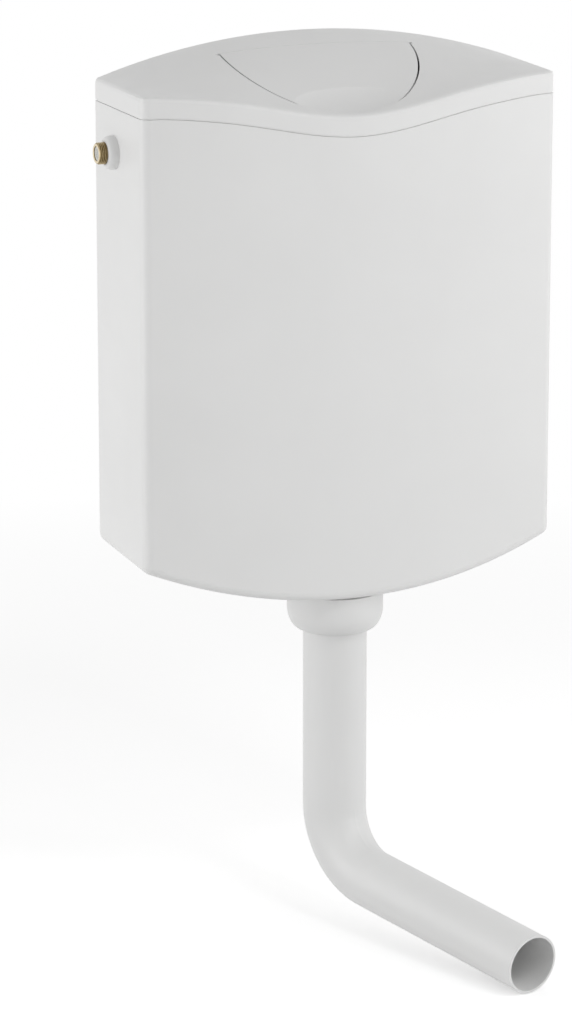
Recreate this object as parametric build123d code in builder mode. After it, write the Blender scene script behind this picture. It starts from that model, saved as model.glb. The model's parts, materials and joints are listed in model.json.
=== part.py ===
from build123d import *
import os
from math import asin, atan, cos, hypot, radians, sin, sqrt, tan

os.makedirs("parts", exist_ok=True)

# A wall-hung plastic toilet cistern with its flush pipe, all in millimetres.
# The origin is on the wall, midway between the two wall screws. X runs to the right as one faces
# the cistern, the front faces minus Y and Z is up.

# Shared by all pieces
overrun = 5.0  # how far a cutter runs past what it cuts
piece_gap = 0.3  # between pieces that pass or seat on one another
running_fit = 0.06  # radial play of a pin in its hole
quarter_turn = 90.0  # degrees

# Tank, seen from above and from the front
tank_width = 339.0
side_depth = 100.3
front_bulge = 15.7
corner_radius = 8.5
tank_wall = 3.0
seam_height = 40.0  # the seam with the lid, above the wall screws
side_height = 348.6  # from the seam to the bottom, at the sides
bottom_sag = 33.0  # how much lower the rocker bottom is in the middle
bottom_rise = 4.5  # how much higher the bottom is at the wall than at the front
bottom_edge_radius = 7.0

# The seam's dip across the front: places as shares of the half width, drops as shares of the dip
seam_dip = 20.7
dip_place_shares = (0, 0.25, 0.5, 0.75, 1.06)
dip_drop_shares = (1, 0.797, 0.397, 0.104, -0.03)

# Holes and seats in the tank
screw_spacing = 224.0
screw_hole_radius = 3.5
screw_boss_radius = 10.0
screw_boss_height = 3.0
outlet_from_front = 47.2  # from the bow of the front wall
neck_radius = 33.0
neck_bore_radius = 28.0
neck_length = 20.0  # below the tank's lowest point
pad_radius = 44.0
pad_height = 6.0
inlet_from_wall = 39.9
inlet_below_seam = 33.5

# Lid
rim_height = 16.6
crown_height = 28.2  # of the arch along the wall, above the rim
fall_slope_shares = (0.28, 0.3)  # of the mean slope from wall to front, at the wall and in front
dome_place_shares = (0.25, 0.5, 0.75)  # of the depth, where the dome's sections stand
lid_wall = 2.5
groove_height = 1.1
groove_depth = 0.5
rim_radius = 4.0
rib_length = 30.0
rib_thickness = 2.0
rib_reach = 8.0
rib_place_share = 0.55  # of the half width or of the side's depth

# Flush button, a shield shaped flap in the lid
button_half_width = 78.0
button_back = 26.0  # from the wall
button_margin = 6.8  # from the cistern's front
button_gap = 1.4
button_waist_shares = (0.88, 0.48)  # of the half width, and of the way from back to front
button_shoulder_shares = (0.556, 0.85)
button_notch_radius = 1.6  # at the gap's back corners
button_skirt = 8.5
button_skirt_wall = 1.8

# Finger dish at the front of the button
dish_half_width = 46.5
dish_length = 37.5  # from its back edge to where it runs out at the front
dish_depth = 4.4  # below a straight line from its back edge to its front

# Button hinge
hinge_inset = 3.0  # in front of the button's back edge
hinge_pin_radius = 1.5
knuckle_radius = 3.6
lug_thickness = 4.0
lug_place = 58.0  # from the middle to the lid's lug
lug_air = 2.0  # between the knuckles and the button's underside
lug_depth = 14.0  # how far the lid's lug reaches behind the button

# Push rod under the button
rod_place = 48.0  # from the middle
rod_ahead = 3.0  # in front of the outlet's axis
rod_tip_radius = 4.0
rod_web = 2.4
rod_width = 9.0

# Lever, on its pin along Y
lever_pin_place = 32.0  # from the middle
lever_pin_height = 10.0  # above the wall screws
lever_pin_radius = 2.0
lever_hub_radius = 5.0
lever_thickness = 5.0
lever_pad_length = 22.0
lever_pad_width = 18.0
fork_gap = 1.2  # between the fork and the overflow tube
fork_arm_width = 4.0
fork_nose_place = 1.0  # from the middle
lever_gap = 0.4  # to the push rod above and to the lift collar

# Bracket that carries the lever
ear_thickness = 3.0
ear_half_width = 5.5
ear_gap = 0.5
deck_thickness = 3.0
deck_drop = 14.0  # from the pin down to the deck's underside
deck_half_width = 7.0
web_thickness = 3.0
web_height = 16.0
back_plate_half_width = 20.0
back_plate_thickness = 3.0
back_plate_top = 12.0  # above the deck's underside
back_plate_bottom = 30.0  # below the deck's underside
pin_head_radius = 3.5
pin_head_thickness = 1.5

# Overflow plunger, with its seal, float and spring
tube_radius = 14.0
tube_wall = 2.0
collar_radius = 21.0
collar_thickness = 3.0
tube_above_collar = 4.0
window_width = 10.0
window_height = 12.0
window_drop = 18.0  # from the collar down to the top of the overflow windows
seat_radius = 28.0
seat_width = 2.5
seat_height = 4.0
seal_radius = 31.0
seal_thickness = 3.5
carrier_radius = 30.0
carrier_thickness = 3.0
float_ring_radius = 26.0
float_ring_height = 40.0
spring_radius = 18.0
spring_wire_radius = 0.8
spring_turns = 5

# Valve base and cage
gasket_thickness = 3.0
base_radius = 41.0
base_thickness = 4.0
base_tail_wall = 3.0
cage_radius = 38.0
cage_wall = 3.5
cage_height = 110.0
cage_ring_height = 10.0
cage_deck = 4.0
cage_guide_height = 14.0
cage_guide_wall = 2.5
cage_legs = 4
cage_leg_width = 14.0

# Coupling nut under the tank, with its seal, and the flush pipe
nut_radius = 37.6
nut_thread_gap = 0.3
nut_top_gap = 2.0  # below the tank's lowest point
nut_straight = 14.4
nut_round_height = 16.8
nut_round_depth = 11.0
pipe_seal_thickness = 3.0
pipe_flange_radius = 31.5
pipe_flange_thickness = 3.0
pipe_radius = 25.0
pipe_end_radius = 23.2
pipe_wall = 1.8
pipe_corner_depth = 566.3  # where the two centre lines cross, below the wall screws
pipe_bend_radius = 52.0
pipe_leg = 237.1  # from that crossing to the open end
pipe_turn = 16.5  # degrees, from straight ahead to the right
pipe_dip = 5.2  # degrees, below level

# Inlet through the left side
thread_radius = 8.33
inlet_bore_radius = 5.5
inlet_stub = 14.3  # outside the tank
inlet_inside = 14.0  # inside the tank
inlet_chamfer = 1.0
inlet_relief_width = 0.5
inlet_relief_depth = 0.5
inlet_nut_radius = 12.9
inlet_nut_thickness = 7.7
inlet_nut_straight = 2.0  # before it rounds down to its nose
inlet_nut_nose_radius = 9.2
inlet_washer_thickness = 2.0
inlet_washer_radius = 13.0

# Fill valve
shoulder_radius = 14.0
shoulder_thickness = 3.0
barrel_radius = 11.0
barrel_length = 36.0
passage_radius = 3.5
chamber_radius = 6.0
chamber_depth = 17.0
piston_gap = 0.2
piston_washer_thickness = 2.0
piston_washer_gap = 0.3
piston_nose_radius = 3.0
piston_nose_out = 3.4  # how far the nose's centre stands past the barrel
piston_travel = 5.1
outlet_place = 14.0  # from the shoulder to the outlet stub
outlet_stub_radius = 5.0
outlet_stub_bore = 3.5
outlet_stub_length = 28.0
outlet_socket_length = 12.0
silencer_radius = 7.0
silencer_wall = 1.6
silencer_length = 235.0

# Float arm, its pin, the float and the adjusting screw
arm_pivot_drop = 12.4  # below the barrel's axis
arm_pin_radius = 1.5
arm_hub_radius = 4.5
arm_ear_thickness = 3.0
arm_ear_gap = 0.4
arm_hub_width = 14.0
arm_finger_half = 2.3
arm_finger_top = 3.0  # above the barrel's axis
arm_bar_width = 8.0
arm_bar_thickness = 5.0
arm_reach = 45.0  # from the pivot to the adjusting screw
arm_boss_radius = 6.0
float_swing = 25.0  # degrees
float_length = 50.0
float_height = 38.0
float_drop = 12.0  # from the arm's pivot down to the float's top
float_back = 29.0  # from the wall to the float's back
float_margin = 13.0  # from the float's front to the front corners of the tank
float_edge_radius = 5.0
screw_radius = 2.0
screw_head_radius = 4.0
screw_head_thickness = 2.5
screw_depth = 16.0  # into the float

# Places worked out from the sizes above
half_width = tank_width / 2
full_depth = side_depth + front_bulge
inner_side = half_width - tank_wall
outlet_from_wall = full_depth - outlet_from_front
float_width = side_depth - float_margin - float_back
float_from_wall = float_back + float_width / 2
rod_back = outlet_from_wall + rod_ahead
tank_low = seam_height - side_height - bottom_sag
bottom_radius = (half_width**2 + bottom_sag**2) / (2 * bottom_sag)
bottom_tilt = atan(bottom_rise / full_depth)
pad_top = tank_low + tank_wall + pad_height
neck_bottom = tank_low - neck_length
notch_start = side_depth - corner_radius - tank_wall
lid_space = rim_height + crown_height + overrun
crown_floor = seam_height - seam_dip - overrun
dome_floor = min(crown_floor, lever_pin_height)  # below the push rod's tip
arch_radius = (half_width**2 + crown_height**2) / (2 * crown_height)
inlet_height = seam_height - inlet_below_seam
button_front = full_depth - button_margin


def body_outline(height, inset):
    """The outline of tank and lid from above: flat at the wall, straight sides, bowed front."""
    with BuildSketch(Plane.XY.offset(height)) as outline:
        with BuildLine():
            Polyline(
                (-half_width, -side_depth),
                (-half_width, 0),
                (half_width, 0),
                (half_width, -side_depth),
            )
            ThreePointArc((half_width, -side_depth), (0, -full_depth), (-half_width, -side_depth))
        make_face()
        fillet(outline.vertices().group_by(Axis.Y)[0], corner_radius)
        if inset > 0:
            offset(amount=-inset)
    return outline.sketch


def above_bottom(lift):
    """Everything above the rocker bottom, lifted by a wall or not. The bottom rises to the wall."""
    reach = half_width + overrun
    radius = bottom_radius - lift
    end = bottom_radius - sqrt(radius**2 - reach**2)
    top = side_height + bottom_sag + overrun
    facing = Plane(
        origin=(0, -full_depth, tank_low),
        x_dir=(1, 0, 0),
        z_dir=(0, -cos(bottom_tilt), -sin(bottom_tilt)),
    )
    with BuildSketch(facing) as section:
        with BuildLine():
            ThreePointArc((-reach, end), (0, lift), (reach, end))
            Polyline((reach, end), (reach, top), (-reach, top), (-reach, end))
        make_face()
    with BuildPart() as region:
        extrude(section.sketch, amount=full_depth + top * sin(bottom_tilt) + overrun, both=True)
    return region.part


def across(height_at):
    """Points from left to right of a curve whose height follows the seam's dip."""
    pairs = list(zip(dip_place_shares, dip_drop_shares))
    right = [(place * half_width, height_at(place, drop)) for place, drop in pairs]
    left = [(-x, height) for x, height in reversed(right[1:])]
    return left + right


def above_seam(lift, top):
    """The region over the front wall between the dipped seam, lifted, and a level top."""
    with BuildSketch(Plane.XZ.offset(notch_start)) as section:
        with BuildLine():
            wave = Spline(*across(lambda place, drop: seam_height + lift - seam_dip * drop))
            left, right = wave @ 0, wave @ 1
            Polyline((right.X, right.Y), (right.X, top), (left.X, top), (left.X, left.Y))
        make_face()
    with BuildPart() as region:
        extrude(section.sketch, amount=full_depth)
    return region.part


def fall(share):
    """How far the dome has come down, at a share of the depth from the wall."""
    wall_slope, front_slope = fall_slope_shares
    level = share**2 * (3 - 2 * share)
    return level + wall_slope * share * (1 - share) ** 2 - front_slope * share**2 * (1 - share)


def dome_height(place, drop, from_wall):
    """Height of the lid's top at a place across the width and a distance from the wall."""
    back = crown_height - arch_radius + sqrt(arch_radius**2 - (place * half_width) ** 2)
    front = -seam_dip * drop
    edge = (side_depth + front_bulge * (1 - place**2)) / full_depth
    share = fall(from_wall / full_depth) / fall(edge)
    return seam_height + rim_height + back + (front - back) * share


def drop_at(place):
    """The seam's dip at any place across the width, between the places given above."""
    pairs = list(zip(dip_place_shares, dip_drop_shares))
    for (near, high), (far, low) in zip(pairs, pairs[1:]):
        if place <= far:
            return high + (low - high) * (place - near) / (far - near)
    return dip_drop_shares[-1]


def dome_at(x, from_wall):
    """Height of the lid's top over any point."""
    place = abs(x) / half_width
    return dome_height(place, drop_at(place), from_wall)


def under_dome(lower):
    """Everything under the lid's domed top, with the dome lowered."""
    places = [share * full_depth for share in dome_place_shares]
    with BuildPart() as crown:
        for from_wall in (-overrun, *places, full_depth + overrun):
            with BuildSketch(Plane.XZ.offset(from_wall)):
                with BuildLine():
                    points = across(lambda place, drop: dome_height(place, drop, from_wall) - lower)
                    arch = Spline(*points)
                    left, right = arch @ 0, arch @ 1
                    Polyline(
                        (right.X, right.Y),
                        (right.X, dome_floor),
                        (left.X, dome_floor),
                        (left.X, left.Y),
                    )
                make_face()
        loft()
    return crown.part


def ring(outer, inner, low, high):
    """A plain ring on the outlet's axis."""
    with BuildPart() as part:
        with BuildSketch(Plane(origin=(0, -outlet_from_wall, low))):
            Circle(outer)
            Circle(inner, mode=Mode.SUBTRACT)
        extrude(amount=high - low)
    return part.part


def save(piece, name):
    """Labels a finished piece and writes it."""
    piece.part.label = name
    export_step(piece.part, f"parts/{name}.step")


# Tank
with BuildPart() as tank_room:
    extrude(body_outline(tank_low, tank_wall), amount=seam_height - tank_low + overrun)
    add(above_bottom(tank_wall), mode=Mode.INTERSECT)
    fillet(tank_room.faces().sort_by(Axis.Z)[0].edges(), bottom_edge_radius - tank_wall)

with BuildPart() as floor_pad:
    with BuildSketch(Plane.XY.offset(tank_low)):
        with Locations((0, -outlet_from_wall)):
            Circle(pad_radius)
    extrude(amount=pad_top - tank_low)
    add(above_bottom(tank_wall / 2), mode=Mode.INTERSECT)

with BuildPart() as tank:
    extrude(body_outline(tank_low, 0), amount=seam_height - tank_low)
    add(above_bottom(0), mode=Mode.INTERSECT)
    fillet(tank.faces().sort_by(Axis.Z)[0].edges(), bottom_edge_radius)
    add(tank_room.part, mode=Mode.SUBTRACT)
    add(above_seam(0, seam_height + overrun), mode=Mode.SUBTRACT)
    add(floor_pad.part)
    with BuildSketch(Plane.XY.offset(neck_bottom)):
        with Locations((0, -outlet_from_wall)):
            Circle(neck_radius)
    extrude(amount=pad_top - neck_bottom)
    with BuildSketch(Plane.XY.offset(neck_bottom)):
        with Locations((0, -outlet_from_wall)):
            Circle(neck_bore_radius)
    extrude(amount=pad_top - neck_bottom, mode=Mode.SUBTRACT)
    with BuildSketch(Plane.XZ.offset(tank_wall)):
        with GridLocations(screw_spacing, 0, 2, 1):
            Circle(screw_boss_radius)
    extrude(amount=screw_boss_height)
    with BuildSketch(Plane.XZ):
        with GridLocations(screw_spacing, 0, 2, 1):
            Circle(screw_hole_radius)
    extrude(amount=tank_wall + screw_boss_height, mode=Mode.SUBTRACT)
    with BuildSketch(Plane.YZ.offset(-half_width)):
        with Locations((-inlet_from_wall, inlet_height)):
            Circle(thread_radius + piece_gap)
    extrude(amount=tank_wall, mode=Mode.SUBTRACT)
save(tank, "tank")


# Button and its finger dish
def button_outline(grow):
    """The button's outline from above: straight at the back, narrowing to a bowed front."""
    length = button_front - button_back
    waist_x, waist_y = button_waist_shares
    shoulder_x, shoulder_y = button_shoulder_shares
    corner = (button_half_width, -button_back)
    waist = (waist_x * button_half_width, -button_back - waist_y * length)
    shoulder = (shoulder_x * button_half_width, -button_back - shoulder_y * length)
    with BuildSketch(Plane.XY.offset(crown_floor)) as outline:
        with BuildLine():
            Line((0, -button_back), corner)
            ThreePointArc(corner, waist, shoulder)
            ThreePointArc(shoulder, (0, -button_front), (-shoulder[0], shoulder[1]))
            ThreePointArc((-shoulder[0], shoulder[1]), (-waist[0], waist[1]), (-corner[0], corner[1]))
            Line((-corner[0], corner[1]), (0, -button_back))
        make_face()
        if grow != 0:
            offset(amount=grow, kind=Kind.INTERSECTION)
    return outline.sketch


dish_front = full_depth - button_margin / 2
dish_back = dish_front - dish_length
dish_rise = dome_at(0, dish_back) - dome_at(0, dish_front)
dish_chord = hypot(dish_front - dish_back, dish_rise)
dish_radius = (dish_chord**2 / 4 + dish_depth**2) / (2 * dish_depth)
dish_slope = asin(dish_rise / dish_chord)
dish_lift = dish_radius - dish_depth
dish_axis_y = -(dish_back + dish_front) / 2 - dish_lift * sin(dish_slope)
dish_line = (dome_at(0, dish_back) + dome_at(0, dish_front)) / 2
dish_axis_z = dish_line + dish_lift * cos(dish_slope)
dish_middle = (dish_back + dish_front) / 2
dish_end_rise = dish_depth + dome_at(dish_half_width, dish_middle) - dish_line


def dish_spindle(grow):
    """A spindle along X that hollows the dish, fatter by the plate's thickness for its underside."""
    reach = dish_half_width + overrun
    bow = (dish_half_width**2 + dish_end_rise**2) / (2 * dish_end_rise)
    end = dish_radius + grow - bow + sqrt(bow**2 - reach**2)
    with BuildPart() as spindle:
        with BuildSketch(Plane(origin=(0, dish_axis_y, dish_axis_z), x_dir=(1, 0, 0), z_dir=(0, -1, 0))):
            with BuildLine():
                ThreePointArc((-reach, -end), (0, -dish_radius - grow), (reach, -end))
                Polyline((reach, -end), (reach, 0), (-reach, 0), (-reach, -end))
            make_face()
        revolve(axis=Axis((0, dish_axis_y, dish_axis_z), (1, 0, 0)))
    return spindle.part


hinge_from_wall = button_back + hinge_inset
hinge_height = dome_at(lug_place, hinge_from_wall) - lid_wall - lug_air - knuckle_radius
button_lug_place = lug_place + lug_thickness + piece_gap
rod_top = dome_at(rod_place, rod_back)
rod_tip_height = lever_pin_height + lever_thickness / 2 + lever_gap + rod_tip_radius

with BuildPart() as button_pocket:
    extrude(button_outline(-button_skirt_wall), amount=lid_space + seam_dip + overrun)
    with BuildSketch(Plane.XY.offset(crown_floor)):
        with Locations((0, -button_back)):
            Rectangle(tank_width, 2 * (hinge_inset + knuckle_radius))
    extrude(amount=lid_space + seam_dip + overrun)
    add(under_dome(lid_wall), mode=Mode.INTERSECT)
    add(dish_spindle(lid_wall), mode=Mode.SUBTRACT)

with BuildPart() as push_rod:
    with BuildSketch(Plane.XY.offset(rod_tip_height)):
        with Locations((rod_place, -rod_back)):
            Rectangle(rod_width, rod_web)
            Rectangle(rod_web, rod_width)
    extrude(amount=rod_top - rod_tip_height)
    with Locations((rod_place, -rod_back, rod_tip_height)):
        Sphere(rod_tip_radius)
    add(under_dome(lid_wall / 2), mode=Mode.INTERSECT)

with BuildPart() as button_lugs:
    with BuildSketch(Plane.YZ.offset(button_lug_place - lug_thickness / 2)):
        with Locations((-hinge_from_wall, hinge_height)):
            Circle(knuckle_radius)
            with Locations((0, knuckle_radius + lug_air)):
                Rectangle(2 * knuckle_radius, 2 * (knuckle_radius + lug_air))
    extrude(amount=lug_thickness)
    mirror(about=Plane.YZ)
    extrude(button_outline(0), amount=lid_space + seam_dip + overrun, mode=Mode.INTERSECT)
    add(under_dome(lid_wall / 2), mode=Mode.INTERSECT)

with BuildPart() as flush_button:
    extrude(button_outline(0), amount=lid_space + seam_dip + overrun)
    add(under_dome(0), mode=Mode.INTERSECT)
    add(under_dome(button_skirt), mode=Mode.SUBTRACT)
    add(dish_spindle(0), mode=Mode.SUBTRACT)
    add(button_pocket.part, mode=Mode.SUBTRACT)
    add(push_rod.part)
    add(button_lugs.part)
    with BuildSketch(Plane.YZ.offset(-half_width)):
        with Locations((-hinge_from_wall, hinge_height)):
            Circle(hinge_pin_radius + running_fit)
    extrude(amount=tank_width, mode=Mode.SUBTRACT)
save(flush_button, "flush_button")

with BuildPart() as button_hinge_pins:
    with BuildSketch(Plane.YZ.offset(lug_place - lug_thickness / 2)):
        with Locations((-hinge_from_wall, hinge_height)):
            Circle(hinge_pin_radius)
    extrude(amount=2 * lug_thickness + piece_gap)
    mirror(about=Plane.YZ)
save(button_hinge_pins, "button_hinge_pins")


# Lid
def lid_blank(inset, lift):
    """The lid before its dome is cut: level at the sides, with a tongue down to the dipped seam."""
    base = seam_height + lift
    with BuildPart() as tongue:
        extrude(body_outline(base - seam_dip, inset), amount=seam_dip + overrun)
        add(above_seam(lift, base + overrun), mode=Mode.INTERSECT)
    with BuildPart() as blank:
        extrude(body_outline(base, inset), amount=lid_space)
        add(tongue.part)
    return blank.part


def skirt_rib(foot):
    """A rib inside the skirt that reaches down into the tank and centres the lid."""
    inner = tank_wall + piece_gap
    with BuildPart() as rib:
        with BuildSketch(foot):
            with BuildLine():
                Polyline(
                    (lid_wall / 2, rib_reach),
                    (inner + rib_thickness, rib_reach),
                    (inner + rib_thickness, -rib_reach),
                    (inner, -rib_reach),
                    (inner, rib_thickness),
                    (lid_wall / 2, rib_thickness),
                    close=True,
                )
            make_face()
        extrude(amount=rib_length / 2, both=True)
    return rib.part


with BuildPart() as lid_room:
    extrude(body_outline(crown_floor, lid_wall), amount=lid_space + seam_dip + overrun)
    add(under_dome(lid_wall), mode=Mode.INTERSECT)

with BuildPart() as lid_edge:
    add(lid_blank(groove_depth, piece_gap))
    add(under_dome(lid_wall / 2), mode=Mode.INTERSECT)

with BuildPart() as button_opening:
    extrude(button_outline(button_gap), amount=lid_space + seam_dip + overrun)
    with BuildSketch(Plane.XY.offset(crown_floor)):
        with Locations((0, -button_back + piece_gap)):
            Rectangle(tank_width, button_back, align=(Align.CENTER, Align.MIN))
    extrude(amount=lid_space + seam_dip + overrun, mode=Mode.SUBTRACT)
    notch_x = button_half_width + button_gap
    notch_y = -button_back - button_gap / 2
    with BuildSketch(Plane.XY.offset(crown_floor)):
        with Locations((notch_x, notch_y), (-notch_x, notch_y)):
            Circle(button_notch_radius)
    extrude(amount=lid_space + seam_dip + overrun)

with BuildPart() as lid_lugs:
    lug_back = hinge_from_wall - lug_depth
    with BuildSketch(Plane.YZ.offset(lug_place - lug_thickness / 2)):
        with Locations((-hinge_from_wall, hinge_height)):
            Circle(knuckle_radius)
        with Locations((-(hinge_from_wall + lug_back) / 2, hinge_height)):
            Rectangle(lug_depth, 2 * knuckle_radius)
        with Locations((-(button_back - piece_gap), hinge_height - knuckle_radius)):
            Rectangle(button_back - piece_gap - lug_back, lid_space, align=(Align.MIN, Align.MIN))
    extrude(amount=lug_thickness)
    mirror(about=Plane.YZ)
    add(under_dome(lid_wall / 2), mode=Mode.INTERSECT)

back_foot = Plane(origin=(0, 0, seam_height), x_dir=(0, -1, 0), z_dir=(-1, 0, 0))
left_foot = Plane(
    origin=(-half_width, -rib_place_share * side_depth, seam_height),
    x_dir=(1, 0, 0),
    z_dir=(0, -1, 0),
)
with BuildPart() as side_ribs:
    add(skirt_rib(left_foot))
    mirror(about=Plane.YZ)

with BuildPart() as back_ribs:
    with Locations((rib_place_share * half_width, 0, 0), (-rib_place_share * half_width, 0, 0)):
        add(skirt_rib(back_foot))

with BuildPart() as lid:
    add(lid_blank(0, piece_gap + groove_height))
    add(under_dome(0), mode=Mode.INTERSECT)
    top_edges = lid.faces().sort_by(Axis.Z)[-1].edges().filter_by(lambda e: e.center().Y < -overrun)
    fillet(top_edges, rim_radius)
    add(lid_edge.part)
    add(lid_room.part, mode=Mode.SUBTRACT)
    add(button_opening.part, mode=Mode.SUBTRACT)
    add(lid_lugs.part)
    add(side_ribs.part)
    add(back_ribs.part)
    with BuildSketch(Plane.YZ.offset(-half_width / 2)):
        with Locations((-hinge_from_wall, hinge_height)):
            Circle(hinge_pin_radius + running_fit)
    extrude(amount=half_width, mode=Mode.SUBTRACT)
save(lid, "lid")

# Valve base, gasket and cage
gasket_top = pad_top + gasket_thickness
base_top = gasket_top + base_thickness
base_tail_radius = neck_bore_radius - piece_gap
base_bore_radius = base_tail_radius - base_tail_wall
seat_top = base_top + seat_height

with BuildPart() as base_gasket:
    add(ring(base_radius, base_tail_radius + piece_gap, pad_top, gasket_top))
save(base_gasket, "base_gasket")

with BuildPart() as valve_base:
    add(ring(base_radius, base_bore_radius, gasket_top, base_top))
    add(ring(base_tail_radius, base_bore_radius, neck_bottom, gasket_top))
    add(ring(seat_radius, seat_radius - seat_width, base_top, seat_top))
save(valve_base, "valve_base")

cage_top = base_top + cage_height
with BuildPart() as cage_core:
    add(ring(cage_radius, cage_radius - cage_wall, base_top, cage_top))

with BuildPart() as cage_windows:
    with BuildSketch(Plane.XY.offset(base_top + cage_ring_height)):
        with Locations((0, -outlet_from_wall)):
            Circle(cage_radius + overrun)
            with PolarLocations(0, cage_legs, start_angle=2 * quarter_turn / cage_legs):
                Rectangle(
                    cage_radius + 2 * overrun,
                    cage_leg_width,
                    align=(Align.MIN, Align.CENTER),
                    mode=Mode.SUBTRACT,
                )
    extrude(amount=cage_height - cage_ring_height - cage_deck)

with BuildPart() as valve_housing:
    add(cage_core.part)
    add(cage_windows.part, mode=Mode.SUBTRACT)
    add(ring(cage_radius, tube_radius + piece_gap, cage_top - cage_deck, cage_top))
    guide_radius = tube_radius + piece_gap + cage_guide_wall
    add(ring(guide_radius, tube_radius + piece_gap, cage_top, cage_top + cage_guide_height))
save(valve_housing, "valve_housing")

# Plunger with its seal, float and spring
seal_bottom = seat_top + piece_gap
seal_top = seal_bottom + seal_thickness
carrier_top = seal_top + carrier_thickness
collar_bottom = lever_pin_height + lever_thickness / 2 + lever_gap
tube_top = collar_bottom + collar_thickness + tube_above_collar
ring_top = carrier_top + float_ring_height

with BuildPart() as overflow_plunger:
    add(ring(tube_radius, tube_radius - tube_wall, seal_bottom, tube_top))
    add(ring(carrier_radius, tube_radius - tube_wall, seal_top, carrier_top))
    add(ring(collar_radius, tube_radius - tube_wall, collar_bottom, collar_bottom + collar_thickness))
    with BuildSketch(Plane.XY.offset(collar_bottom - window_drop - window_height)):
        with Locations((0, -outlet_from_wall)):
            Rectangle(window_width, 2 * (tube_radius + overrun))
            Rectangle(2 * (tube_radius + overrun), window_width)
    extrude(amount=window_height, mode=Mode.SUBTRACT)
save(overflow_plunger, "overflow_plunger")

with BuildPart() as flush_seal:
    add(ring(seal_radius, tube_radius + piece_gap / 2, seal_bottom, seal_top))
save(flush_seal, "flush_seal")

with BuildPart() as plunger_float:
    add(ring(float_ring_radius, tube_radius + piece_gap / 2, carrier_top, ring_top))
    fillet(plunger_float.faces().sort_by(Axis.Z)[-1].edges(), piece_gap * 2)
save(plunger_float, "plunger_float")

spring_low = ring_top + spring_wire_radius + piece_gap
spring_high = cage_top - cage_deck - spring_wire_radius - piece_gap
with BuildPart() as plunger_spring:
    with BuildLine() as coil:
        Helix(
            pitch=(spring_high - spring_low) / spring_turns,
            height=spring_high - spring_low,
            radius=spring_radius,
            center=(0, -outlet_from_wall, spring_low),
        )
    with BuildSketch(Plane(origin=coil.line @ 0, z_dir=coil.line % 0)):
        Circle(spring_wire_radius)
    sweep(path=coil.line, is_frenet=True)
save(plunger_spring, "plunger_spring")

# Coupling nut, pipe seal and flush pipe
nut_top = tank_low - nut_top_gap
round_top = nut_top - nut_straight
nut_bottom = round_top - nut_round_height
flange_top = neck_bottom - pipe_seal_thickness
flange_bottom = flange_top - pipe_flange_thickness
thread_bore = neck_radius + nut_thread_gap
pipe_hole = pipe_radius + piece_gap
with BuildPart() as coupling_nut:
    with BuildSketch(Plane.XZ.offset(outlet_from_wall)):
        with BuildLine():
            Polyline((thread_bore, nut_top), (nut_radius, nut_top), (nut_radius, round_top))
            EllipticalCenterArc(
                (nut_radius - nut_round_depth, round_top),
                nut_round_depth,
                nut_round_height,
                start_angle=-quarter_turn,
                arc_size=quarter_turn,
            )
            Polyline(
                (nut_radius - nut_round_depth, nut_bottom),
                (pipe_hole, nut_bottom),
                (pipe_hole, flange_bottom),
                (thread_bore, flange_bottom),
                (thread_bore, nut_top),
            )
        make_face()
    revolve(axis=Axis((0, -outlet_from_wall, 0), (0, 0, 1)))
save(coupling_nut, "coupling_nut")

with BuildPart() as pipe_seal:
    add(ring(neck_radius, pipe_radius - pipe_wall, flange_top, neck_bottom))
save(pipe_seal, "pipe_seal")

leg_way = Vector(
    sin(radians(pipe_turn)) * cos(radians(pipe_dip)),
    -cos(radians(pipe_turn)) * cos(radians(pipe_dip)),
    -sin(radians(pipe_dip)),
)
pipe_corner = Vector(0, -outlet_from_wall, -pipe_corner_depth)
half_bend = radians(leg_way.get_angle(Vector(0, 0, -1))) / 2
bend_run = pipe_bend_radius * tan(half_bend)
bend_start = pipe_corner + Vector(0, 0, bend_run)
bend_end = pipe_corner + leg_way * bend_run
leg_end = pipe_corner + leg_way * pipe_leg
bend_side = Vector(leg_way.X, leg_way.Y, 0).normalized()
bend_middle = bend_start + (
    bend_side * pipe_bend_radius * (1 - cos(half_bend))
    + Vector(0, 0, -pipe_bend_radius * sin(half_bend))
)


def pipe_core(inset):
    """The pipe as a solid rod: straight down, a tapering bend, and the lower leg."""
    upper = pipe_radius - inset
    lower = pipe_end_radius - inset
    with BuildPart() as rod:
        with BuildSketch(Plane(origin=(0, -outlet_from_wall, flange_top), z_dir=(0, 0, -1))):
            Circle(upper)
        extrude(amount=flange_top - bend_start.Z)
        with BuildLine() as way:
            ThreePointArc(bend_start, bend_middle, bend_end)
        with BuildSketch(Plane(origin=bend_start, x_dir=bend_side, z_dir=(0, 0, -1))):
            Circle(upper)
        with BuildSketch(Plane(origin=bend_end, x_dir=(0, 0, 1), z_dir=leg_way)):
            Circle(lower)
        sweep(path=way.line, multisection=True)
        with BuildSketch(Plane(origin=bend_end, x_dir=(0, 0, 1), z_dir=leg_way)):
            Circle(lower)
        extrude(amount=pipe_leg - bend_run)
    return rod.part


with BuildPart() as flush_pipe:
    add(pipe_core(0))
    add(ring(pipe_flange_radius, pipe_radius - pipe_wall, flange_bottom, flange_top))
    add(pipe_core(pipe_wall), mode=Mode.SUBTRACT)
save(flush_pipe, "flush_pipe")

# Inlet tail, nut and washer in the left side
side_out = -half_width
side_in = -inner_side


def inlet_ring(outer, inner, near, far):
    """A plain ring on the inlet's axis, from one place along X to another."""
    with BuildPart() as part:
        with BuildSketch(Plane(origin=(near, -inlet_from_wall, inlet_height), z_dir=(1, 0, 0))):
            Circle(outer)
            if inner > 0:
                Circle(inner, mode=Mode.SUBTRACT)
        extrude(amount=far - near)
    return part.part


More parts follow.
